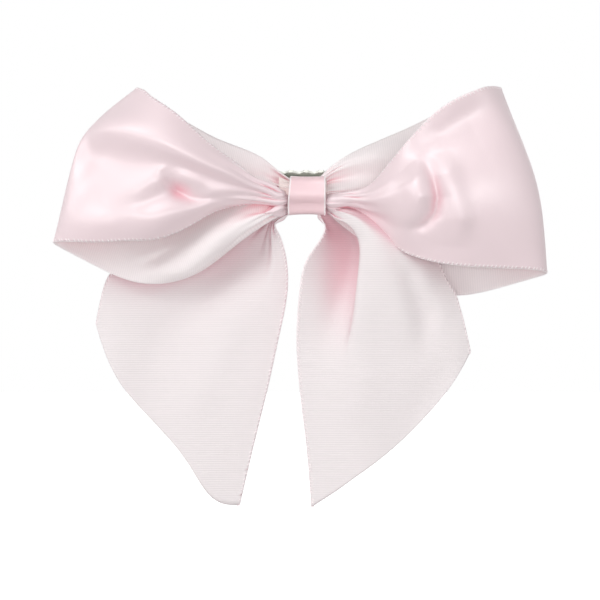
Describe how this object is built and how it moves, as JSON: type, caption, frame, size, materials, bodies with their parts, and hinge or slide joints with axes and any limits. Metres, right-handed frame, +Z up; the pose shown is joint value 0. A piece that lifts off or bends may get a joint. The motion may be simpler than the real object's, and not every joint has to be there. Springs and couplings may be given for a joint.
{
  "type": "hair bow",
  "caption": "Ribbon hair bow with two loops, two tails and a wrapped centre, glued to a sprung toothed alligator clip.",
  "frame": {"origin": "where the clip grips: the middle of the upper jaw's inner face, on the clip's centre line", "axes": "+X to the right of someone facing the bow, +Y from the bow's front towards the wearer's head, +Z up as worn"},
  "size_m": [0.1092, 0.0287, 0.0939],
  "materials": {
    "ribbon": "satin",
    "wrap_ribbon": "satin",
    "thread": "matte",
    "glue": "satin",
    "clip_steel": "satin",
    "spring_steel": "satin"
  },
  "bodies": {
    "bow": {"left_loop_front": "ribbon", "left_loop_back": "ribbon", "right_loop_front": "ribbon", "right_loop_back": "ribbon", "left_tail": "ribbon", "right_tail": "ribbon", "gathered_centre": "ribbon", "centre_wrap": "wrap_ribbon", "gathering_thread": "thread", "glue_pad": "glue", "clip_upper_jaw": "clip_steel", "clip_pin": "clip_steel", "clip_spring": "spring_steel"},
    "jaw": {"clip_lower_jaw": "clip_steel"}
  },
  "joints": [
    {"name": "clip_open", "type": "hinge", "parent": "bow", "child": "jaw", "pos_m": [0.011, 0.0022, 0], "axis": [0, 0, -1], "range_deg": [0, 32], "stiffness_Nm_per_rad": 0.04, "springref_deg": -45.84, "deforming": ["clip_spring"]}
  ]
}
